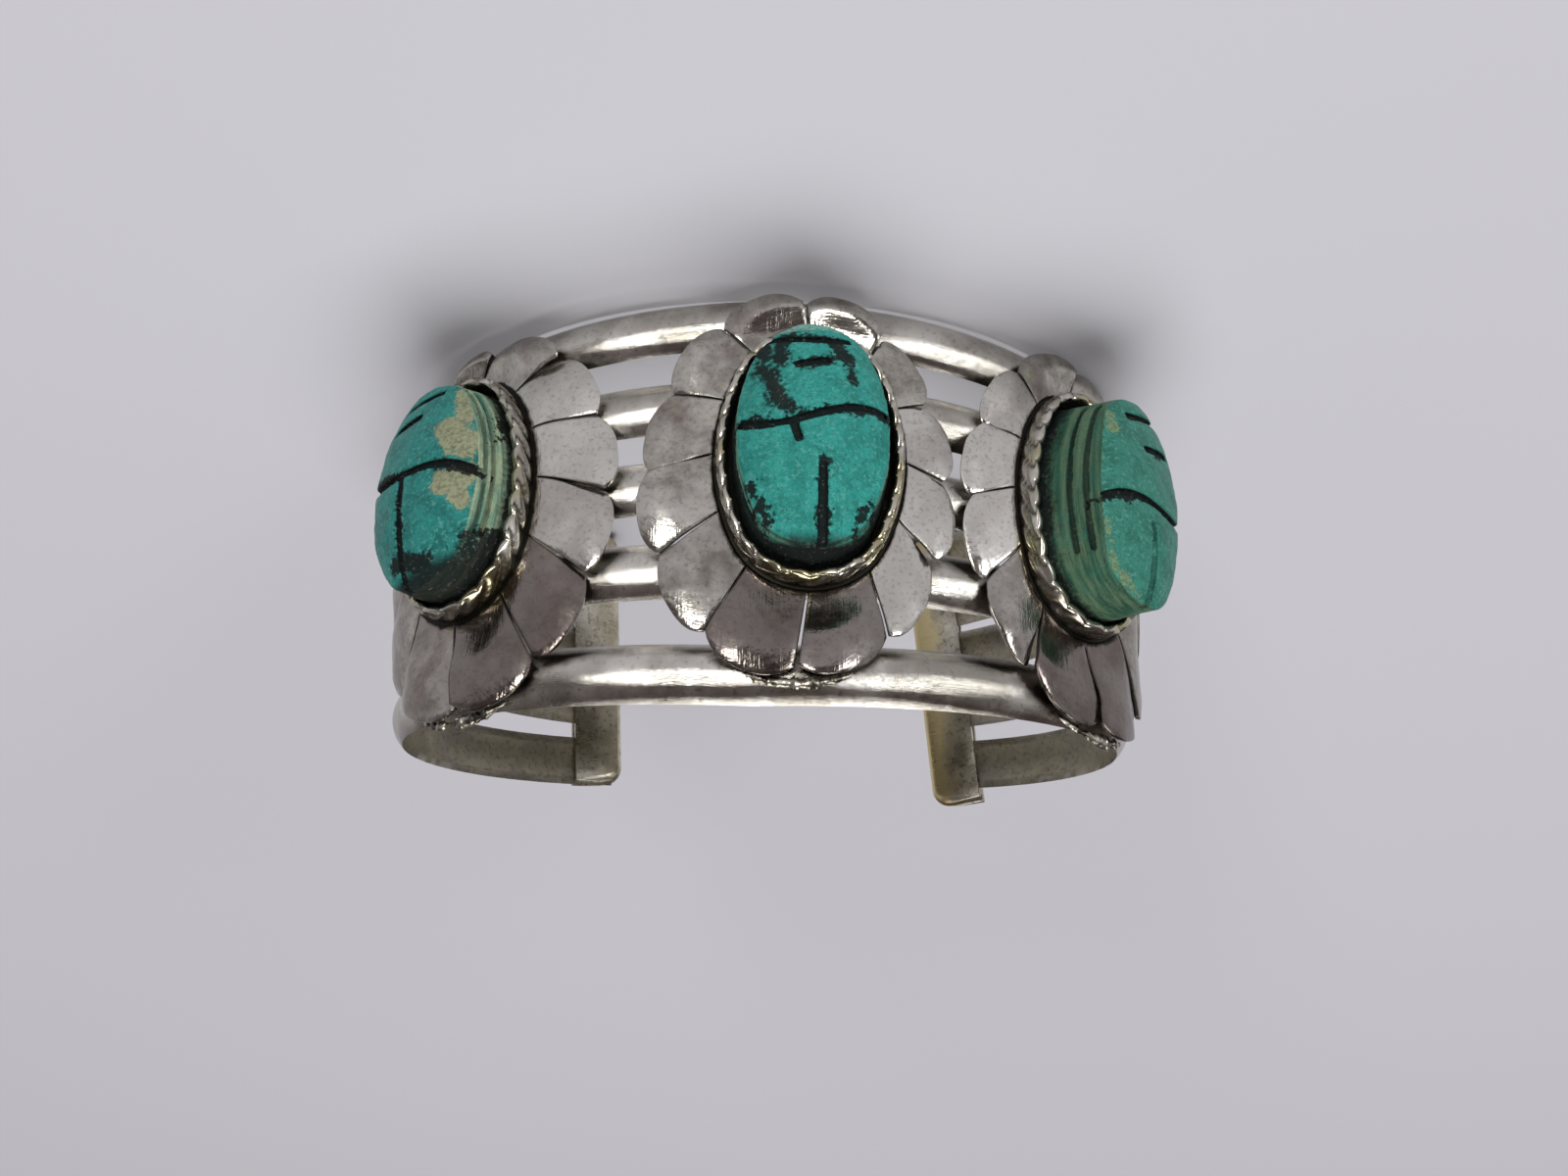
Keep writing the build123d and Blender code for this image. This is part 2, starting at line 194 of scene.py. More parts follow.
world = bpy.data.worlds.new("studio")
bpy.context.scene.world = world
world.use_nodes = True
sky = Socket(world.node_tree)
direction = sky.node("ShaderNodeTexCoord", {}, {}, "Generated")
haze = sky.grain(direction, 2.2, 2.0)
wall = sky.facing(direction, (0.3, -0.75, 0.35), 0.35, 0.95)
side = sky.facing(direction, (-0.95, -0.35, 0.12), 0.86, 0.95)
other_side = sky.facing(direction, (1.0, 0.1, 0.3), 0.80, 0.95)
room = (wall * 0.15 + side * 0.9 + other_side * 0.6) * haze.step(0.25, 0.65)
height = sky.parts(direction)[2]
shade = room.blend((0.115, 0.088, 0.09, 1), (0.85, 0.87, 0.9, 1))
shade = height.step(-0.02, 0.05).blend((0.60, 0.60, 0.63, 1), shade)
background = world.node_tree.nodes["Background"]
world.node_tree.links.new(shade.link, background.inputs["Color"])
background.inputs["Strength"].default_value = 0.8


# Five half-round strips of white metal, rolled with a domed face, bent to an open oval and drawn together
# towards their ends. Their faces are polished and rubbed by wear, their hollow backs are dull and stained.
HALF_WIDTH = 34.0
HALF_HEIGHT = 19.65
END_TURN = math.radians(150.968)
FULL_WIDTH = 42.4
END_WIDTH = 29.8
TAPER_POWER = 1.3
STRIP_WIDTHS = (5.6, 5.3)
STRIP_RISES = (1.35, 1.1)
STRIP_WALL = 0.85
STRIP_PLACES = {"front": -1.02, "lower": -0.475, "middle": 0.0, "upper": 0.475, "back": 0.975}
STRIP_STEPS = 150
DOME_STEPS = 30
HOLLOW_STEPS = 20
SECTION_STEPS = DOME_STEPS + HOLLOW_STEPS
UNEVEN_ROLLING = 0.04
CAP_LENGTH = 5.2
CAP_FOLD = 1.0
CAP_SKEW = math.radians(5.0)
# The worn stance, in millimetres with the stones on top, is laid down by this tilt and moved to the frame
LYING_TILT = 0.142164
LYING_PLACE = (1.4736, 4.1070, 17.7682)

sine, cosine = math.sin(LYING_TILT), math.cos(LYING_TILT)
lying = Matrix(((-1, 0, 0), (0, -sine, -cosine), (0, -cosine, sine))).to_4x4()
LAID = Matrix.Scale(0.001, 4) @ Matrix.Translation(LYING_PLACE) @ lying


def between(start_value, end_value, share):
    return start_value + (end_value - start_value) * share


def lean(turn):
    """Angle between the oval's outward direction and straight up."""
    return math.atan2(HALF_HEIGHT * math.sin(turn), HALF_WIDTH * math.cos(turn))


def on_oval(turn, y=0.0, height=0.0):
    """Point that stands a height off the oval."""
    angle = lean(turn)
    x = HALF_WIDTH * math.sin(turn) + height * math.sin(angle)
    return Vector((x, y, HALF_HEIGHT * math.cos(turn) + height * math.cos(angle)))


turns = np.linspace(-math.pi, math.pi, 1441)
halves = (turns[1:] + turns[:-1]) / 2
runs = np.hypot(HALF_WIDTH * np.cos(halves), HALF_HEIGHT * np.sin(halves)) * (turns[1] - turns[0])
lengths = np.concatenate(([0.0], np.cumsum(runs))) - runs.sum() / 2
leans = np.array([lean(turn) for turn in turns])
leans[0] = -math.pi


def turn_at(length, height=0.0):
    """The oval's turn at a length from its top, measured along the oval raised by a height."""
    return float(np.interp(length, lengths + height * leans, turns))


ARC_END = float(np.interp(END_TURN, turns, lengths))


def placed_grid(name, columns, rows, rule):
    """A grid whose points a rule places on the worn cuff, from shares across and along."""
    bpy.ops.object.select_all(action="DESELECT")
    bpy.ops.mesh.primitive_grid_add(x_subdivisions=columns, y_subdivisions=rows, size=2)
    grid = bpy.context.active_object
    grid.name = name
    for vertex in grid.data.vertices:
        vertex.co = rule((vertex.co.x + 1) / 2, (vertex.co.y + 1) / 2)
    return grid


def mark(piece, name, kind, values):
    """Keep a value or a place for each point of a piece, for its material."""
    layer = piece.data.attributes.new(name, kind, "POINT")
    field = "vector" if kind == "FLOAT_VECTOR" else "value"
    layer.data.foreach_set(field, np.ravel(values).astype(np.float32))


def pick(*pieces):
    """Select only these pieces and make the first one active."""
    bpy.ops.object.select_all(action="DESELECT")
    for piece in pieces:
        piece.select_set(True)
    bpy.context.view_layer.objects.active = pieces[0]


def in_edit_mode(piece, *steps):
    """Run edit-mode steps on the whole piece."""
    pick(piece)
    bpy.ops.object.mode_set(mode="EDIT")
    for step in steps:
        bpy.ops.mesh.select_all(action="SELECT")
        step()
    bpy.ops.object.mode_set(mode="OBJECT")


def weld():
    bpy.ops.mesh.remove_doubles(threshold=0.0005)


def close_ends():
    bpy.ops.mesh.fill_holes(sides=0)


def face_outwards():
    bpy.ops.mesh.normals_make_consistent(inside=False)


def apply_modifier(piece, kind, **settings):
    pick(piece)
    modifier = piece.modifiers.new(kind.lower(), kind)
    for name, value in settings.items():
        setattr(modifier, name, value)
    bpy.ops.object.modifier_apply(modifier=modifier.name)


def finish_piece(piece, material, angle=35.0):
    """Lay the piece down with the cuff, shade it and give it its material."""
    piece.data.transform(LAID)
    pick(piece)
    bpy.ops.object.shade_smooth_by_angle(angle=math.radians(angle))
    piece.data.materials.clear()
    piece.data.materials.append(material)
    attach(piece, "root")


def arc_rise(half, rise, x):
    """Height over its chord of the arc that is two halves wide and rises so far in its middle."""
    radius = (half * half + rise * rise) / (2 * rise)
    return math.sqrt(max(radius * radius - x * x, 0.0)) - radius + rise


def section_point(half, rise, column):
    """Point of the crescent section: first over the dome, and then back along the hollow."""
    foot = half - STRIP_WALL
    if column <= DOME_STEPS:
        x = -half * math.cos(math.pi * column / DOME_STEPS)
        return x, arc_rise(half, rise, x)
    if column == SECTION_STEPS:
        return -half, 0.0
    x = foot * math.cos(math.pi * (column - DOME_STEPS - 1) / (HOLLOW_STEPS - 2))
    return x, arc_rise(foot, rise - STRIP_WALL, x)


silver, surface, start = new_material("polished_strips")
place = start.node("ShaderNodeTexCoord", {}, {}, "Object")
inner = start.attribute("hollow")
along = start.attribute("strip_at", "Vector")
rubbed = start.grain(start.stretched(along, (0.5, 7.0, 1.0)), 2.6, 4.0)
cloudy = start.grain(place, 170.0, 3.0)
stained = start.grain(place, 210.0, 5.0, 0.65)
fine = start.grain(start.stretched(along, (0.35, 22.0, 1.0)), 5.0, 3.0)
dents = start.grain(place, 240.0, 2.0)
specks = start.grain(place, 2400.0, 2.0)
bare = cloudy.step(0.35, 0.65).blend((0.36, 0.335, 0.285, 1), (0.66, 0.63, 0.57, 1))
bare = (specks.step(0.55, 0.72) * 0.35 + fine.step(0.58, 0.72) * 0.3).blend(bare, (0.12, 0.10, 0.085, 1))
dull = stained.step(0.3, 0.75).blend((0.31, 0.29, 0.24, 1), (0.50, 0.45, 0.32, 1))
dull = (specks.step(0.5, 0.7) * 0.4).blend(dull, (0.08, 0.07, 0.05, 1))
feed(
    surface,
    Base_Color=inner.blend(bare, dull),
    Metallic=1.0,
    Roughness=rubbed * 0.12 + 0.07 + cloudy.step(0.5, 0.75) * 0.10 + inner * 0.28,
    Normal=start.node(
        "ShaderNodeBump",
        {},
        {"Height": fine * 0.5 + rubbed * 0.5 + dents * 2.0, "Strength": 0.16, "Distance": 0.0002},
    ),
)

for name, share_out in STRIP_PLACES.items():
    skew = share_out * (END_WIDTH - STRIP_WIDTHS[1]) / 2 * math.tan(CAP_SKEW)
    reach = ARC_END - CAP_FOLD
    first, last = turn_at(skew - reach), turn_at(skew + reach)

    def strip_rule(around, share):
        turn = between(first, last, share)
        narrowed = (abs(turn) / END_TURN) ** TAPER_POWER
        half = between(*STRIP_WIDTHS, narrowed) / 2
        edge = between(FULL_WIDTH, END_WIDTH, narrowed) / 2
        x, height = section_point(half, between(*STRIP_RISES, narrowed), round(SECTION_STEPS * around))
        height *= 1 + UNEVEN_ROLLING * noise.noise(Vector((9 * turn, 20 * share_out, 0)))
        return on_oval(turn, share_out * (edge - half) + x, height)

    strip = placed_grid("strip_" + name, SECTION_STEPS, STRIP_STEPS, strip_rule)
    rows, columns = np.divmod(np.arange(len(strip.data.vertices)), SECTION_STEPS + 1)
    strip_at = np.stack([rows, columns * 0.4, 0 * rows + share_out * 40], 1) / 2
    mark(strip, "strip_at", "FLOAT_VECTOR", strip_at)
    mark(strip, "hollow", "FLOAT", columns > DOME_STEPS)
    in_edit_mode(strip, weld, close_ends, face_outwards)
    finish_piece(strip, silver, 50.0)
    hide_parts("cuff")


# Two end caps: a plate folded over the ends of the strips, its corners filed round. The caps stand a
# little askew, and the right one reaches past the front strip. Solder has yellowed the right fold.
CAP_WALL = 0.6
CAP_OVERHANG = 0.4
CAP_FRONTS = {"left": 0.1, "right": 2.2}
CAP_CORNER = 1.8
SOLDER_BITE = 0.12
slot_depth = STRIP_RISES[1] - 2 * SOLDER_BITE
cap_depth = slot_depth + 2 * CAP_WALL


def cap_metal(name, yellow):
    material, surface, start = new_material(name)
    place = start.node("ShaderNodeTexCoord", {}, {}, "Object")
    cloud = start.grain(place, 260.0, 4.0, 0.6)
    scratches = start.grain(start.stretched(place, (1, 1, 9)), 420.0, 3.0)
    metal = cloud.step(0.35, 0.65).blend((0.40, 0.37, 0.29, 1), (0.78, 0.74, 0.64, 1))
    specks = start.grain(place, 2200.0, 2.0)
    metal = (specks.step(0.52, 0.7) * 0.5).blend(metal, (0.06, 0.05, 0.035, 1))
    solder = ((cloud - 0.5) * 1.6 + start.attribute("fold")).step(0.15, 0.8) * yellow
    feed(
        surface,
        Base_Color=solder.blend(metal, (0.68, 0.57, 0.31, 1)),
        Metallic=1.0,
        Roughness=cloud * 0.25 + scratches * 0.12 + 0.12,
        Normal=start.node("ShaderNodeBump", {}, {"Height": scratches, "Strength": 0.12, "Distance": 0.0002}),
    )
    return material


def box_piece(name, size, centre=(0, 0, 0)):
    bpy.ops.object.select_all(action="DESELECT")
    bpy.ops.mesh.primitive_cube_add(size=1, location=centre, scale=size)
    piece = bpy.context.active_object
    piece.name = name
    bpy.ops.object.transform_apply(location=True, rotation=True, scale=True)
    return piece


def pick_edges(piece, wanted):
    """Select the edges whose two ends pass a test."""
    bpy.ops.mesh.select_mode(type="EDGE")
    bpy.ops.mesh.select_all(action="DESELECT")
    bpy.ops.object.mode_set(mode="OBJECT")
    points = piece.data.vertices
    for edge in piece.data.edges:
        edge.select = wanted(points[edge.vertices[0]].co, points[edge.vertices[1]].co)
    bpy.ops.object.mode_set(mode="EDIT")


for side, sign in (("left", -1), ("right", 1)):
    front = CAP_FRONTS[side]
    width = END_WIDTH + CAP_OVERHANG + front
    cap = box_piece("cap_" + side, (width, cap_depth, CAP_LENGTH))

    def round_corners():
        at_end = CAP_LENGTH * 0.49
        pick_edges(cap, lambda a, b: min(a.z, b.z) > at_end and abs(a.x - b.x) < 0.01)
        bpy.ops.mesh.bevel(offset=CAP_CORNER, segments=8, affect="EDGES")

    def round_fold():
        far = (CAP_LENGTH / 2 - CAP_CORNER) - 0.01
        faces = cap_depth * 0.49
        pick_edges(
            cap,
            lambda a, b: min(a.z, b.z) > far and min(abs(a.y), abs(b.y)) > faces and abs(a.y - b.y) < 0.01,
        )
        bpy.ops.mesh.bevel(offset=cap_depth * 0.45, segments=6, affect="EDGES")

    in_edit_mode(cap, round_corners, round_fold)
    slit = box_piece("cap_slot", (2 * width, slot_depth, CAP_LENGTH), (0, 0, -CAP_FOLD))
    apply_modifier(cap, "BOOLEAN", object=slit, operation="DIFFERENCE", solver="EXACT")
    bpy.data.objects.remove(slit)
    apply_modifier(cap, "BEVEL", width=0.12, segments=3, limit_method="ANGLE", angle_limit=math.radians(50))
    folded = [(vertex.co.z - CAP_LENGTH / 2 + 2.6) / 1.6 for vertex in cap.data.vertices]
    mark(cap, "fold", "FLOAT", np.clip(folded, 0, 1))
    middle = turn_at(ARC_END - CAP_LENGTH / 2)
    angle = lean(middle)
    out_x, out_z = math.sin(angle), math.cos(angle)
    across = Matrix(((0, out_x, out_z), (1, 0, 0), (0, out_z, -out_x)))
    seat = Matrix.Translation(on_oval(middle, 0, STRIP_RISES[1] / 2)) @ across.to_4x4()
    skewed = Matrix.Rotation(-sign * CAP_SKEW, 4, "Y")
    turned = skewed @ Matrix.Translation(((CAP_OVERHANG - front) / 2, 0, 0))
    cap.data.transform(seat @ turned)
    if side == "left":
        cap.data.transform(Matrix.Scale(-1, 4, (1, 0, 0)))
    in_edit_mode(cap, face_outwards)
    finish_piece(cap, cap_metal("cap_metal_" + side, 1.0 if side == "right" else 0.25), 40.0)
    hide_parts("cuff")


# Three flowers of thin white metal sheet. Twelve petals are slit apart and each is turned a little, so
# that one edge stands up. The sheet is flat under the stone and hammered down to the strips at the tips.
FLOWER_SIZE = (28.6, 40.0)
PETALS = 12
PETAL_COLUMNS = 16
PETAL_ROWS = 14
PETAL_ROUNDING = 1.3
PETAL_TURN = 0.22
PETAL_DOME = 0.12
PETAL_CUP = 0.55
PETAL_ARCH = 0.42
HAMMERING = 0.16
PETAL_CURL = 0.22
PETAL_SLIT = 0.25
PETAL_BEND = 1.5
SHEET = 0.45
SEAT_HEIGHT = 1.47
PLATE_HEIGHT = SEAT_HEIGHT + PETAL_TURN
SCARAB_SIZE = (14.2, 23.6)
SCARAB_CLEARANCE = 0.3
COLLAR_THICKNESS = 1.1
COLLAR_FOOT_MARGIN = 0.15
OVAL_FULLNESS = 0.82
# Along the cuff and the arm: the plate's middle, then the collar's from the plate's, and its turn
FLOWERS = {
    "left": (-26.5, -1.4, -2.2, 3.0, 11.5),
    "centre": (3.7, -0.1, 1.05, 1.9, 0.0),
    "right": (32.6, -0.7, -0.6, 2.3, -10.0),
}
# The petals browned most, by tarnish and painted shade, and those lightened most as a painted highlight,
# counted clockwise from the top
TARNISH_SHADE_AND_HIGHLIGHT = {"left": (4.6, 1.8), "centre": (5.4, 3.2), "right": (5.6, 8.8)}


class Oval:
    """An oval of four tangent arcs with its length along y, walked clockwise from its top."""

    def __init__(self, width, length, offset=0.0):
        half = width / 2
        end_radius = OVAL_FULLNESS * half
        self.end_centre = length / 2 - end_radius
        reach = half**2 + self.end_centre**2 - end_radius**2
        self.side_centre = reach / (2 * (half - end_radius)) - half
        self.side_radius = self.side_centre + half + offset
        self.end_radius = end_radius + offset
        corner = math.atan2(self.end_centre, self.side_centre)
        self.corner = corner
        self.end_run = self.end_radius * (math.pi / 2 - corner)
        self.quarter = self.end_run + self.side_radius * corner

    def place(self, share):
        """Point and outward direction at a share of the way round, each as (x, y)."""
        quarter, part = divmod(share % 1 * 4, 1)
        run = self.quarter * (part if quarter in (0, 2) else 1 - part)
        across = 1 if quarter < 2 else -1
        up = 1 if quarter in (0, 3) else -1
        if run < self.end_run:
            angle = math.pi / 2 - run / self.end_radius
            centre, radius = (0, self.end_centre), self.end_radius
        else:
            angle = self.corner - (run - self.end_run) / self.side_radius
            centre, radius = (-self.side_centre, 0), self.side_radius
        out = (math.cos(angle), math.sin(angle))
        point = (centre[0] + radius * out[0], centre[1] + radius * out[1])
        return (across * point[0], up * point[1]), (across * out[0], up * out[1])


def seat_matrix(flower, turn_stone):
    """Placement of the flat seat: x along the oval, y along the arm or the stone, z outwards."""
    along, plate_y, collar_u, collar_y, collar_turn = FLOWERS[flower]
    turn = turn_at(along + collar_u, PLATE_HEIGHT)
    angle = lean(turn)
    axes = Matrix(((math.cos(angle), 0, math.sin(angle)), (0, 1, 0), (-math.sin(angle), 0, math.cos(angle))))
    middle = on_oval(turn, plate_y + collar_y, SEAT_HEIGHT + SHEET)
    turned = Matrix.Rotation(math.radians(collar_turn if turn_stone else 0.0), 4, "Z")
    return Matrix.Translation(middle) @ axes.to_4x4() @ turned


def petal_metal(name, seed, tarnished_and_shaded, highlighted):
    """Satin sheet metal with rubbed scratches, painted shade in the slits and a dark joint beside the collar.

    Petals near the first number, counted clockwise from the top, are brown with tarnish and painted shade,
    and those near the second are lightened as a painted highlight.
    """
    material, surface, start = new_material(name)
    place = start.node("ShaderNodeTexCoord", {}, {}, "Object")
    across, out, number = start.parts(start.attribute("petal_at", "Vector"))
    cloud = start.grain(start.stretched(place, (1, 1, 1), (seed, 0, 0)), 190.0, 4.0, 0.6, 0.6)
    smear = start.grain(start.stretched(place, (1, 3, 1), (0.4, seed, 0.9)), 150.0, 3.0)
    scratch = start.grain(start.stretched(place, (1, 14, 1), (0.3, 0.5, 0.6 + seed)), 500.0, 2.0)
    scores = start.grain(start.stretched(place, (12, 1, 1), (0.9, 0.1, 0.2)), 420.0, 2.0)
    specks = start.grain(place, 2600.0, 3.0, 0.6)
    patches = start.grain(place, 640.0, 4.0, 0.65, 0.3)
    foot = 1 - (out + (patches - 0.5) * 0.12).step(0.01, 0.06)
    # Dark at the collar's soldered joint, and painted shade along each petal's slit edges.
    joint_dark_and_slit_shade = foot.at_least(abs(across).step(0.94, 1.0) * 0.75)
    clouded = (cloud * 0.6 + patches * 0.4).step(0.36, 0.62)
    metal = clouded.blend((0.27, 0.25, 0.21, 1), (0.55, 0.525, 0.47, 1))
    metal = (smear.step(0.48, 0.66) * 0.6).blend(metal, (0.19, 0.14, 0.135, 1))
    metal = (patches.step(0.60, 0.72) * 0.6).blend(metal, (0.34, 0.30, 0.14, 1))
    # Brown tarnish with painted shade on the petals near the first number.
    brown_and_shade = 1 - (abs(number - tarnished_and_shaded) + (smear - 0.5) * 2.0).step(0.6, 2.0)
    metal = (brown_and_shade * 0.75).blend(metal, (0.125, 0.095, 0.085, 1))
    # Painted highlight: the petals near the second number are lightened as if they caught a lamp.
    painted_highlight = 1 - abs(number - highlighted).step(0.6, 2.2)
    metal = (painted_highlight * 0.6).blend(metal, (0.78, 0.76, 0.70, 1))
    tinted = (specks.step(0.52, 0.68) * 0.32).blend(metal, (0.08, 0.07, 0.06, 1))
    feed(
        surface,
        Base_Color=joint_dark_and_slit_shade.blend(tinted, (0.018, 0.016, 0.012, 1)),
        Metallic=1.0,
        Roughness=patches * 0.16 + scratch.step(0.45, 0.75) * 0.10 + joint_dark_and_slit_shade * 0.3 + 0.06,
        Normal=start.node(
            "ShaderNodeBump",
            {},
            {
                "Height": scratch * 0.8 + scores * 0.8 + cloud * 3.0 + patches * 0.8 + specks * 0.3,
                "Strength": 0.15,
                "Distance": 0.0002,
            },
        ),
    )
    return material


tips = Oval(*FLOWER_SIZE)
for seed, flower in enumerate(FLOWERS):
    along, plate_y, collar_u, collar_y, collar_turn = FLOWERS[flower]
    seat = seat_matrix(flower, False)
    foot = Oval(*SCARAB_SIZE, SCARAB_CLEARANCE + COLLAR_THICKNESS + COLLAR_FOOT_MARGIN)
    swing = Matrix.Rotation(math.radians(collar_turn), 2)

    def petal_rule(petal, across_share, out_share):
        turned = 2 * across_share - 1
        cup = 0.5 + 0.5 * math.sin(2.4 * petal + 1.7 * seed)
        raised = 0.5 + 0.5 * math.sin(3.9 * petal + 0.9 * seed + 1.0)
        slit = turned * PETAL_SLIT / 2 / (4 * tips.quarter) if out_share > 0 else 0.0
        share = (petal + across_share) / PETALS - slit
        root = swing @ Vector(foot.place(share + collar_turn / 360)[0])
        tip = Vector(tips.place(share)[0]) - Vector((collar_u, collar_y))
        out = out_share * (1 - PETAL_ROUNDING / (tip - root).length * abs(turned) ** 3)
        u, v = root.lerp(tip, out)
        level = seat @ Vector((u, v, 0.0))
        dome = (PETAL_DOME + PETAL_CUP * cup) * (1 - turned**2) * math.sin(0.5 * math.pi * out)
        lift = PETAL_TURN * ((1 + raised) * turned + raised) * out + dome
        lift += HAMMERING * out * (noise.noise(Vector((0.4 * u, 0.4 * v, 3 * seed))) + 0.5 * raised)
        lift += PETAL_ARCH * (0.4 + 0.6 * raised) * math.sin(math.pi * out**1.3) - PETAL_CURL * out**4
        turn = turn_at(along + collar_u + u, PLATE_HEIGHT)
        bent = on_oval(turn, plate_y + collar_y + v, PLATE_HEIGHT + lift + SHEET)
        near = min(1.0, PETAL_BEND * out)
        return level.lerp(bent, near * near * (3 - 2 * near))

    leaves = []
    for petal in range(PETALS):
        leaf = placed_grid(
            "petal", PETAL_COLUMNS, PETAL_ROWS, lambda across, out: petal_rule(petal, across, out)
        )
        rows, columns = np.divmod(np.arange(len(leaf.data.vertices)), PETAL_COLUMNS + 1)
        petal_at = np.stack([2 * columns / PETAL_COLUMNS - 1, rows / PETAL_ROWS, 0 * rows + petal], 1)
        mark(leaf, "petal_at", "FLOAT_VECTOR", petal_at)
        leaves.append(leaf)

    def seat_rule(around, out_share):
        u, v = swing @ Vector(foot.place(around)[0]) * out_share
        return seat @ Vector((u, v, 0.0))

    plate = placed_grid("seat", 96, 3, seat_rule)
    in_edit_mode(plate, weld)
    mark(plate, "petal_at", "FLOAT_VECTOR", np.zeros((len(plate.data.vertices), 3)))
    pick(*leaves, plate)
    bpy.ops.object.join()
    sheet = bpy.context.active_object
    sheet.name = "petals_" + flower
    up = (seat @ Vector((0, 0, 1)) - seat @ Vector((0, 0, 0))).normalized()
    facing = sum(face.normal.dot(up) * face.area for face in sheet.data.polygons)
    apply_modifier(sheet, "SOLIDIFY", thickness=SHEET, offset=-1.0 if facing > 0 else 1.0)
    apply_modifier(sheet, "BEVEL", width=0.09, segments=2, limit_method="ANGLE", angle_limit=math.radians(60))
    finish_piece(sheet, petal_metal("petal_metal_" + flower, 0.7 * seed, *TARNISH_SHADE_AND_HIGHLIGHT[flower]), 45.0)
    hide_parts("flower_" + flower)


# Hard solder under the petal tips at the top and bottom of each flower, where the sheet meets the front
# and back strips. It was left as lumps that were only brushed off, not filed away.
SOLDER_HEIGHT = 1.18
SOLDER_REACH = 0.048
SOLDER_RADIUS = 0.62

rough_solder, surface, start = new_material("rough_solder")
place = start.node("ShaderNodeTexCoord", {}, {}, "Object")
lumps = start.grain(place, 1500.0, 3.0)
burnt = start.grain(place, 520.0, 3.0)
metal = lumps.step(0.38, 0.62).blend((0.22, 0.20, 0.15, 1), (0.62, 0.59, 0.50, 1))
feed(
    surface,
    Base_Color=(burnt.step(0.50, 0.62) * 0.85).blend(metal, (0.03, 0.027, 0.02, 1)),
    Metallic=1.0,
    Roughness=lumps * 0.3 + 0.18,
    Normal=start.node("ShaderNodeBump", {}, {"Height": lumps, "Strength": 0.4, "Distance": 0.0003}),
)

for flower in FLOWERS:
    along, plate_y = FLOWERS[flower][:2]
    beads = []
    for end in (0.0, 0.5):

        def bead_rule(around, share):
            (u, v), (out_u, out_v) = tips.place(end + SOLDER_REACH * (2 * share - 1))
            lump = noise.noise(Vector((9 * share + 5 * end, along, 0)))
            lump += noise.noise(Vector((40 * share, along, end)))
            radius = SOLDER_RADIUS * (0.75 + 0.5 * lump) * math.sqrt(max(0.0, 1 - (2 * share - 1) ** 2))
            radius *= 1.0 if end else 0.5
            angle = 2 * math.pi * around
            out = radius * math.cos(angle) - (0.15 if end else 0.8)
            height = SOLDER_HEIGHT + 0.7 * radius * math.sin(angle)
            x = along + u + out * out_u
            return on_oval(turn_at(x, height), plate_y + v + out * out_v, height)

        bead = placed_grid("solder", 12, 60, bead_rule)
        in_edit_mode(bead, weld, face_outwards)
        beads.append(bead)
    pick(*beads)
    bpy.ops.object.join()
    joint = bpy.context.active_object
    joint.name = "solder_" + flower
    finish_piece(joint, rough_solder, 60.0)
    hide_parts("flower_" + flower)


# The collars that hold the stones: white metal wire twisted and then rolled flat, bent round the stone on
# its edge and soldered to the flower. The twist shows as a row of slanted beads, black in its hollows.
COLLAR_HEIGHT = 2.2
COLLAR_PITCH = 2.5
COLLAR_SLANT = 1.5
COLLAR_SWAY = 0.10
SEAM_WIDTH = 0.30
WIRE_WAIST = {"left": 0.50, "centre": 0.50, "right": 0.70}
COLLAR_STEPS = 20
COLLAR_SECTION = 28

wire_metal, surface, start = new_material("twisted_wire")
place = start.node("ShaderNodeTexCoord", {}, {}, "Object")
depth = start.attribute("twist_depth")
cloud = start.grain(place, 420.0, 3.0)
yellowed = start.grain(place, 130.0, 2.0).step(0.5, 0.66)
metal = cloud.step(0.35, 0.7).blend((0.40, 0.37, 0.30, 1), (0.66, 0.63, 0.56, 1))
metal = (yellowed * 0.6).blend(metal, (0.42, 0.36, 0.15, 1))
feed(
    surface,
    Base_Color=(depth * 0.9).blend(metal, (0.03, 0.026, 0.018, 1)),
    Metallic=1.0,
    Roughness=cloud * 0.2 + depth * 0.3 + 0.08,
    Normal=start.node("ShaderNodeBump", {}, {"Height": cloud, "Strength": 0.1, "Distance": 0.0002}),
)

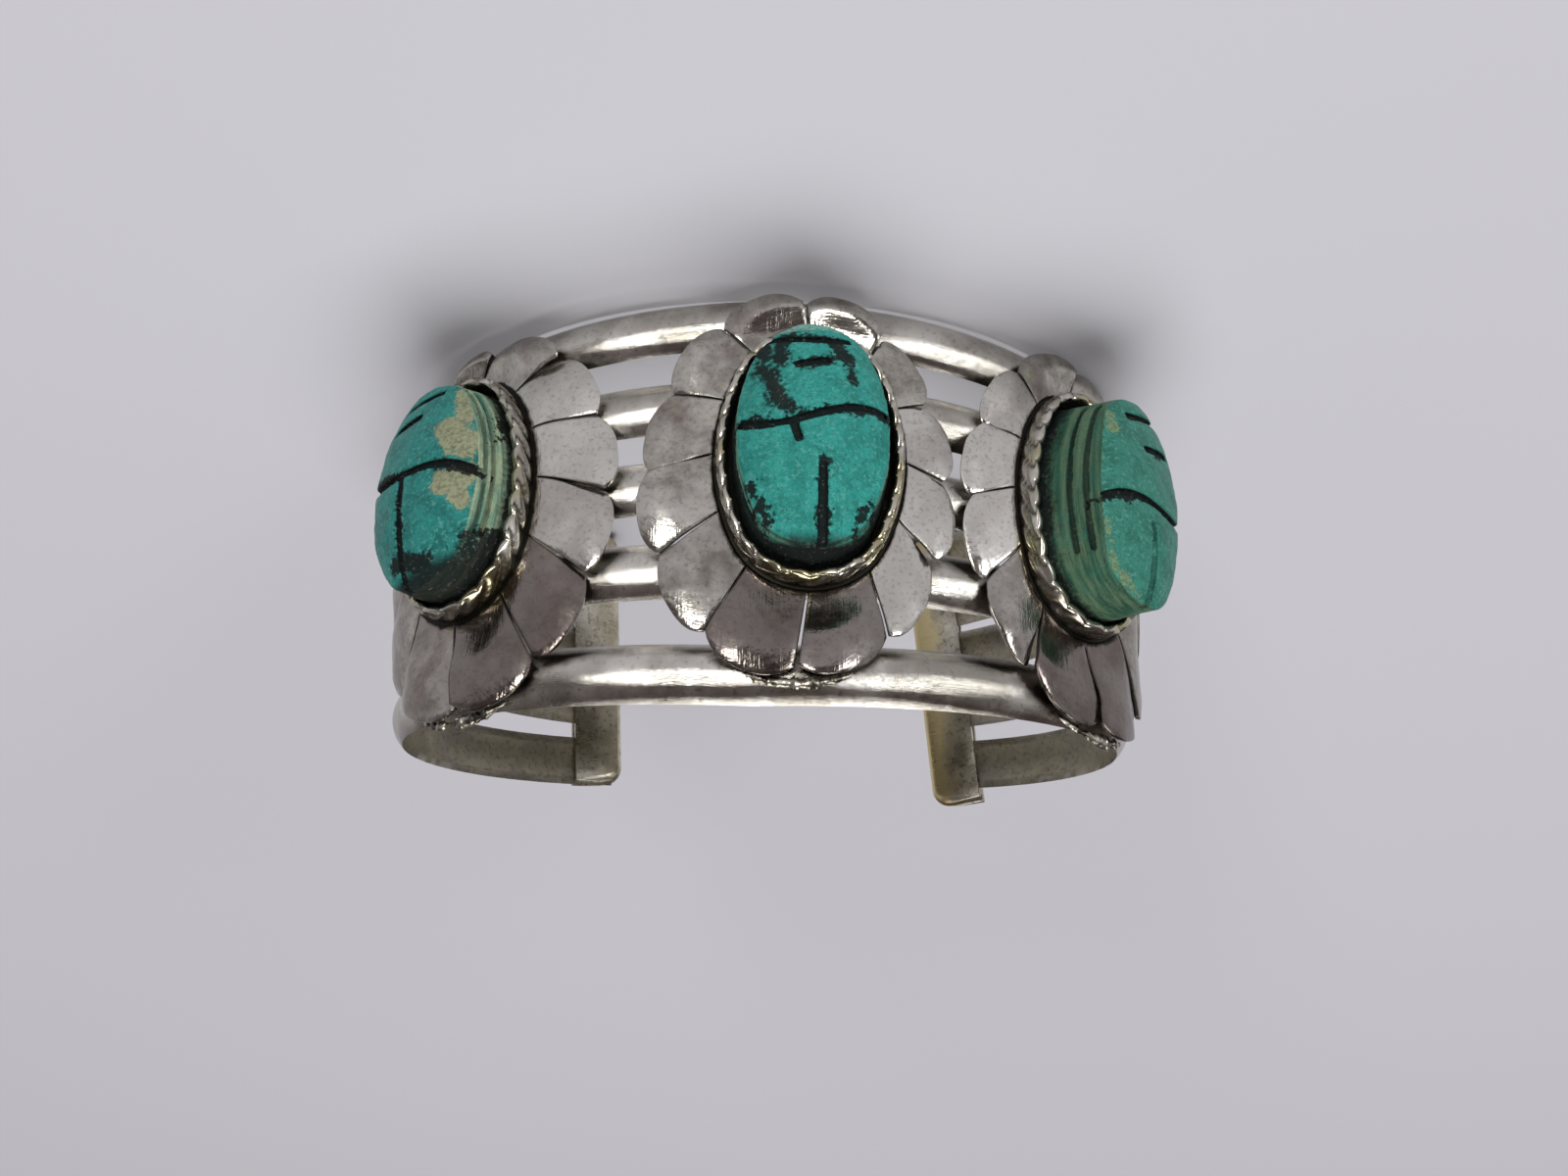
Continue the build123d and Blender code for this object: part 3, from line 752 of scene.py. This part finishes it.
for flower in FLOWERS:
    path = Oval(*SCARAB_SIZE, SCARAB_CLEARANCE + COLLAR_THICKNESS / 2)
    seat = seat_matrix(flower, True)
    beads = round(4 * path.quarter / COLLAR_PITCH)

    def collar_point(around, share):
        (u, v), (out_u, out_v) = path.place(share)
        angle = 2 * math.pi * around
        c, s = math.cos(angle), math.sin(angle)
        out = math.copysign(abs(c) ** 0.55, c) * COLLAR_THICKNESS / 2
        up = math.copysign(abs(s) ** 0.75, s) * COLLAR_HEIGHT / 2
        slant = COLLAR_SLANT * up / COLLAR_HEIGHT * (1 if c > 0 else -1) * abs(c)
        turn = math.pi * (beads * share + slant)
        seam = math.exp(-((math.cos(turn) / SEAM_WIDTH) ** 2))
        crest = abs(math.cos(math.pi * beads * share))
        out *= between(WIRE_WAIST[flower], 0.95, abs(math.cos(turn)) ** 0.7)
        out += COLLAR_SWAY * math.sin(2 * math.pi * beads * share) * max(s, 0.0)
        up *= between(0.74, 1.0, crest**0.7) if s > 0 else 1.0
        return u + out * out_u, v + out * out_v, up, seam

    def collar_rule(around, share):
        u, v, up, _ = collar_point(around, share)
        return seat @ Vector((u, v, up + COLLAR_HEIGHT / 2 - SOLDER_BITE))

    rows = beads * COLLAR_STEPS
    ring = placed_grid("collar_" + flower, COLLAR_SECTION, rows, collar_rule)
    depths = []
    for index in range(len(ring.data.vertices)):
        row, column = divmod(index, COLLAR_SECTION + 1)
        _, _, up, seam = collar_point(column / COLLAR_SECTION, row / rows)
        foot_grime = max(0.0, -up / COLLAR_HEIGHT * 2 - 0.45) * 1.8
        depths.append(min(1.0, seam + foot_grime))
    mark(ring, "twist_depth", "FLOAT", depths)
    in_edit_mode(ring, weld, face_outwards)
    finish_piece(ring, wire_metal, 60.0)
    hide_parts("flower_" + flower)


# Three scarabs carved from soft stone and glazed turquoise. Each is cut from a block with steep sides and
# a low crown, with lines for the head, the wing cases and the legs. Grime has settled in every cut, and
# the glaze has worn off in patches.
CARVED_GRAIN = 0.14
CUT_DEPTH = 0.42


def scarab_glaze(
    flower, tones, worn_and_highlight_tone, flank_tones, washed, dark_below_height, tail, blacked, worn_through, faint=()
):
    """Glaze over pale stone: mottled on the crown, streaked along the flanks, black in the cuts.

    The flanks' cuts are washed paler, and the stone is darker below a height and black beyond the tail.
    Lines are blacked, worn through to the stone, or cut so faintly that they hold little grime.
    """
    material, surface, start = new_material("scarab_glaze_" + flower)
    spot = start.attribute("carved_at", "Vector")
    x, y, z = start.parts(spot)
    cut = start.attribute("cut_depth")
    flank = start.attribute("flank")
    mottle = start.grain(spot, 0.45, 5.0, 0.65, 0.4)
    speck = start.grain(spot, 2.6, 3.0, 0.6)
    pits = start.grain(spot, 6.5, 2.0, 0.5)
    streak = start.grain(start.stretched(spot, (0.3, 0.05, 1.6)), 1.3, 4.0, 0.6)
    ragged = (mottle - 0.5) * 2.4 + (speck - 0.5) * 1.6
    glaze = (mottle * 0.7 + speck * 0.3).step(0.36, 0.64).blend(*tones)
    glaze = (speck.step(0.54, 0.68) * 0.5).blend(glaze, (0.15, 0.42, 0.36, 1))
    glaze = (pits.step(0.54, 0.66) * 0.5).blend(glaze, (0.008, 0.07, 0.06, 1))
    glaze = (mottle.step(0.56, 0.66) * speck.step(0.42, 0.6) * 0.6).blend(glaze, (0.006, 0.055, 0.05, 1))
    worn = 0.0
    for *line, reach in worn_through:
        gone = 1 - ((start.distance(x, y, line) + ragged * 1.1) / reach).step(0.8, 1.1)
        worn = gone.at_least(worn)
    crust = speck.step(0.4, 0.65).blend(worn_and_highlight_tone, [0.6 * part for part in worn_and_highlight_tone[:3]] + [1])
    body = worn.blend(glaze, crust)
    # A pale worn rim along the crown's edge, which is also a painted highlight there.
    worn_rim_and_highlight = flank * (1 - flank) * 3.0 * (speck * 0.6 + mottle * 0.4).step(0.40, 0.58)
    body = worn_rim_and_highlight.at_most(0.7).blend(body, worn_and_highlight_tone)
    side = streak.step(0.36, 0.62).blend(*flank_tones)
    side = (mottle.step(0.45, 0.6) * 0.35).blend(side, tones[0])
    body = flank.blend(body, side)
    black = (tail - y + ragged * 0.7).step(0.0, 1.2)
    for *line, reach in blacked:
        near = 1 - ((start.distance(x, y, line) + ragged * 1.1) / reach).step(0.6, 1.25)
        black = near.at_least(black)
    # Darker towards the bottom of the stone, below a given height.
    low = 1 - (z + ragged * 0.8).step(dark_below_height - 1.2, dark_below_height)
    line_dirt = (cut + (speck - 0.5) * 0.5).step(0.04, 0.3)
    for line in faint:
        line_dirt = line_dirt * (start.distance(x, y, line).step(0.5, 0.8) * 0.65 + 0.35)
    darkening = (line_dirt * (1 - flank * washed) + black * 0.95 + low * 0.95).at_most(0.98)
    dark_tone = (speck * 0.6 + pits * 0.4).step(0.56, 0.70).blend((0.003, 0.004, 0.004, 1), (0.12, 0.13, 0.12, 1))
    relief = mottle * 0.8 + speck * 0.5 + pits * 0.4 + black * speck * 0.8 - worn * 0.15
    feed(
        surface,
        Base_Color=darkening.blend(body, dark_tone),
        Roughness=speck * 0.22 + 0.28 + darkening * 0.3,
        Normal=start.node("ShaderNodeBump", {}, {"Height": relief, "Strength": 0.75, "Distance": 0.0003}),
        Specular_IOR_Level=0.18,
    )
    return material


# Lines on the stones, as x, y, x, y and reach, in millimetres from the middle with the head up
LEFT_BLACK = (
    (4.9, -8.8, 2.8, -11.4, 1.0),
    (6.7, 4.9, 7.2, 0.9, 0.35),
    (-3.6, -8.6, 0.0, -10.2, 0.9),
    (-6.4, 2.2, -1.6, -0.2, 0.4),
    (-1.6, -0.2, 2.8, -1.0, 0.4),
    (2.8, -1.0, 5.6, -2.8, 0.4),
    (-1.4, -0.6, -2.1, -4.8, 0.35),
    (-2.1, -4.8, -2.9, -11.0, 0.4),
)
LEFT_WORN = (
    (5.0, 7.6, 5.2, 3.6, 0.9),
    (4.2, 2.8, 5.2, 0.4, 1.5),
    (3.5, -3.4, 4.8, -3.2, 1.4),
    (4.3, -4.8, 4.6, -5.6, 0.9),
)
CENTRE_BLACK = (
    (-2.6, 8.9, 2.4, 9.1, 0.65),
    (-4.4, 9.0, -4.5, 6.4, 0.75),
    (-3.0, 8.8, -3.2, 6.2, 0.85),
    (-4.6, 5.4, -3.4, 2.0, 0.95),
    (-3.2, 2.0, -2.0, 0.4, 0.7),
    (1.9, 8.5, 2.3, 6.6, 0.7),
    (2.8, 6.6, 3.3, 4.4, 0.65),
    (-1.5, 5.5, 1.3, 5.9, 0.55),
    (-5.4, -6.2, -3.7, -9.6, 0.45),
    (5.0, -7.0, 3.6, -9.8, 0.35),
    (2.2, 0.9, 3.4, 0.6, 0.25),
    (-6.4, 0.0, -2.7, -0.8, 0.42),
    (-2.7, -0.8, 1.4, 0.5, 0.5),
    (1.4, 0.5, 6.3, 1.3, 0.55),
    (0.7, -4.8, 0.9, -12.0, 0.5),
)
CENTRE_WORN = ((-3.8, 3.6, -2.7, 1.4, 0.45), (-4.9, 10.6, 3.9, 10.9, 0.5))
RIGHT_BLACK = ((1.0, 3.8, 3.9, 5.7, 0.25), (-4.2, -3.9, -1.0, -2.2, 0.3))
RIGHT_WORN = ((-3.9, 6.5, -4.0, 4.4, 0.28), (-3.8, -6.2, -2.2, -10.0, 0.32), (-2.0, -10.2, 0.6, -11.6, 0.32))
RIGHT_FAINT = ((1.1, -3.8, 1.7, -6.2), (1.7, -6.2, 2.1, -12.0))
GLAZES = {
    "left": scarab_glaze(
        "left",
        tones=((0.008, 0.125, 0.11, 1), (0.025, 0.27, 0.235, 1)),
        worn_and_highlight_tone=(0.30, 0.32, 0.19, 1),
        flank_tones=((0.10, 0.24, 0.17, 1), (0.42, 0.48, 0.30, 1)),
        washed=0.55,
        dark_below_height=2.6,
        tail=-9.6,
        blacked=LEFT_BLACK,
        worn_through=LEFT_WORN,
    ),
    "centre": scarab_glaze(
        "centre",
        tones=((0.012, 0.20, 0.165, 1), (0.035, 0.35, 0.295, 1)),
        worn_and_highlight_tone=(0.20, 0.42, 0.34, 1),
        flank_tones=((0.015, 0.12, 0.09, 1), (0.14, 0.30, 0.21, 1)),
        washed=0.2,
        dark_below_height=3.9,
        tail=-10.2,
        blacked=CENTRE_BLACK,
        worn_through=CENTRE_WORN,
    ),
    "right": scarab_glaze(
        "right",
        tones=((0.018, 0.135, 0.095, 1), (0.045, 0.25, 0.185, 1)),
        worn_and_highlight_tone=(0.17, 0.27, 0.14, 1),
        flank_tones=((0.018, 0.075, 0.045, 1), (0.09, 0.16, 0.09, 1)),
        washed=0.35,
        dark_below_height=2.8,
        tail=-12.7,
        blacked=RIGHT_BLACK,
        worn_through=RIGHT_WORN,
        faint=RIGHT_FAINT,
    ),
}
HAND_CUT = 0.10

for flower in FLOWERS:
    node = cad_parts["scarab_" + flower]
    stone = bpy.data.objects.new("carved_scarab_" + flower, node.data.copy())
    bpy.context.scene.collection.objects.link(stone)
    back = (LAID @ seat_matrix(flower, True)).inverted()
    stone.data.transform(back)
    in_edit_mode(stone, weld)
    hull = bpy.data.objects.new("uncut_scarab", stone.data.copy())
    bpy.context.scene.collection.objects.link(hull)
    in_edit_mode(hull, bpy.ops.mesh.convex_hull)
    whole = BVHTree.FromObject(hull, bpy.context.evaluated_depsgraph_get())
    bpy.data.objects.remove(hull)
    apply_modifier(stone, "REMESH", mode="VOXEL", voxel_size=CARVED_GRAIN)
    apply_modifier(stone, "SMOOTH", factor=0.5, iterations=4)
    spots = [vertex.co.copy() for vertex in stone.data.vertices]
    normals = [vertex.normal.copy() for vertex in stone.data.vertices]
    uncut = [whole.find_nearest(spot) for spot in spots]
    depths = [found[3] for found in uncut]
    steep = [1 - (abs(found[1].z) - 0.35) / 0.2 for found in uncut]
    uneven = [noise.noise(spot * 0.35) + 0.5 * noise.noise(spot * 1.1) for spot in spots]
    shifted = [spot + normal * HAND_CUT * off for spot, normal, off in zip(spots, normals, uneven)]
    stone.data.vertices.foreach_set("co", np.ravel(shifted))
    mark(stone, "carved_at", "FLOAT_VECTOR", spots)
    mark(stone, "cut_depth", "FLOAT", np.clip((np.array(depths) - 0.06) / CUT_DEPTH, 0, 1))
    mark(stone, "flank", "FLOAT", np.clip(steep, 0, 1))
    stone.data.transform(seat_matrix(flower, True))
    finish_piece(stone, GLAZES[flower], 60.0)
    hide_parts("scarab_" + flower)
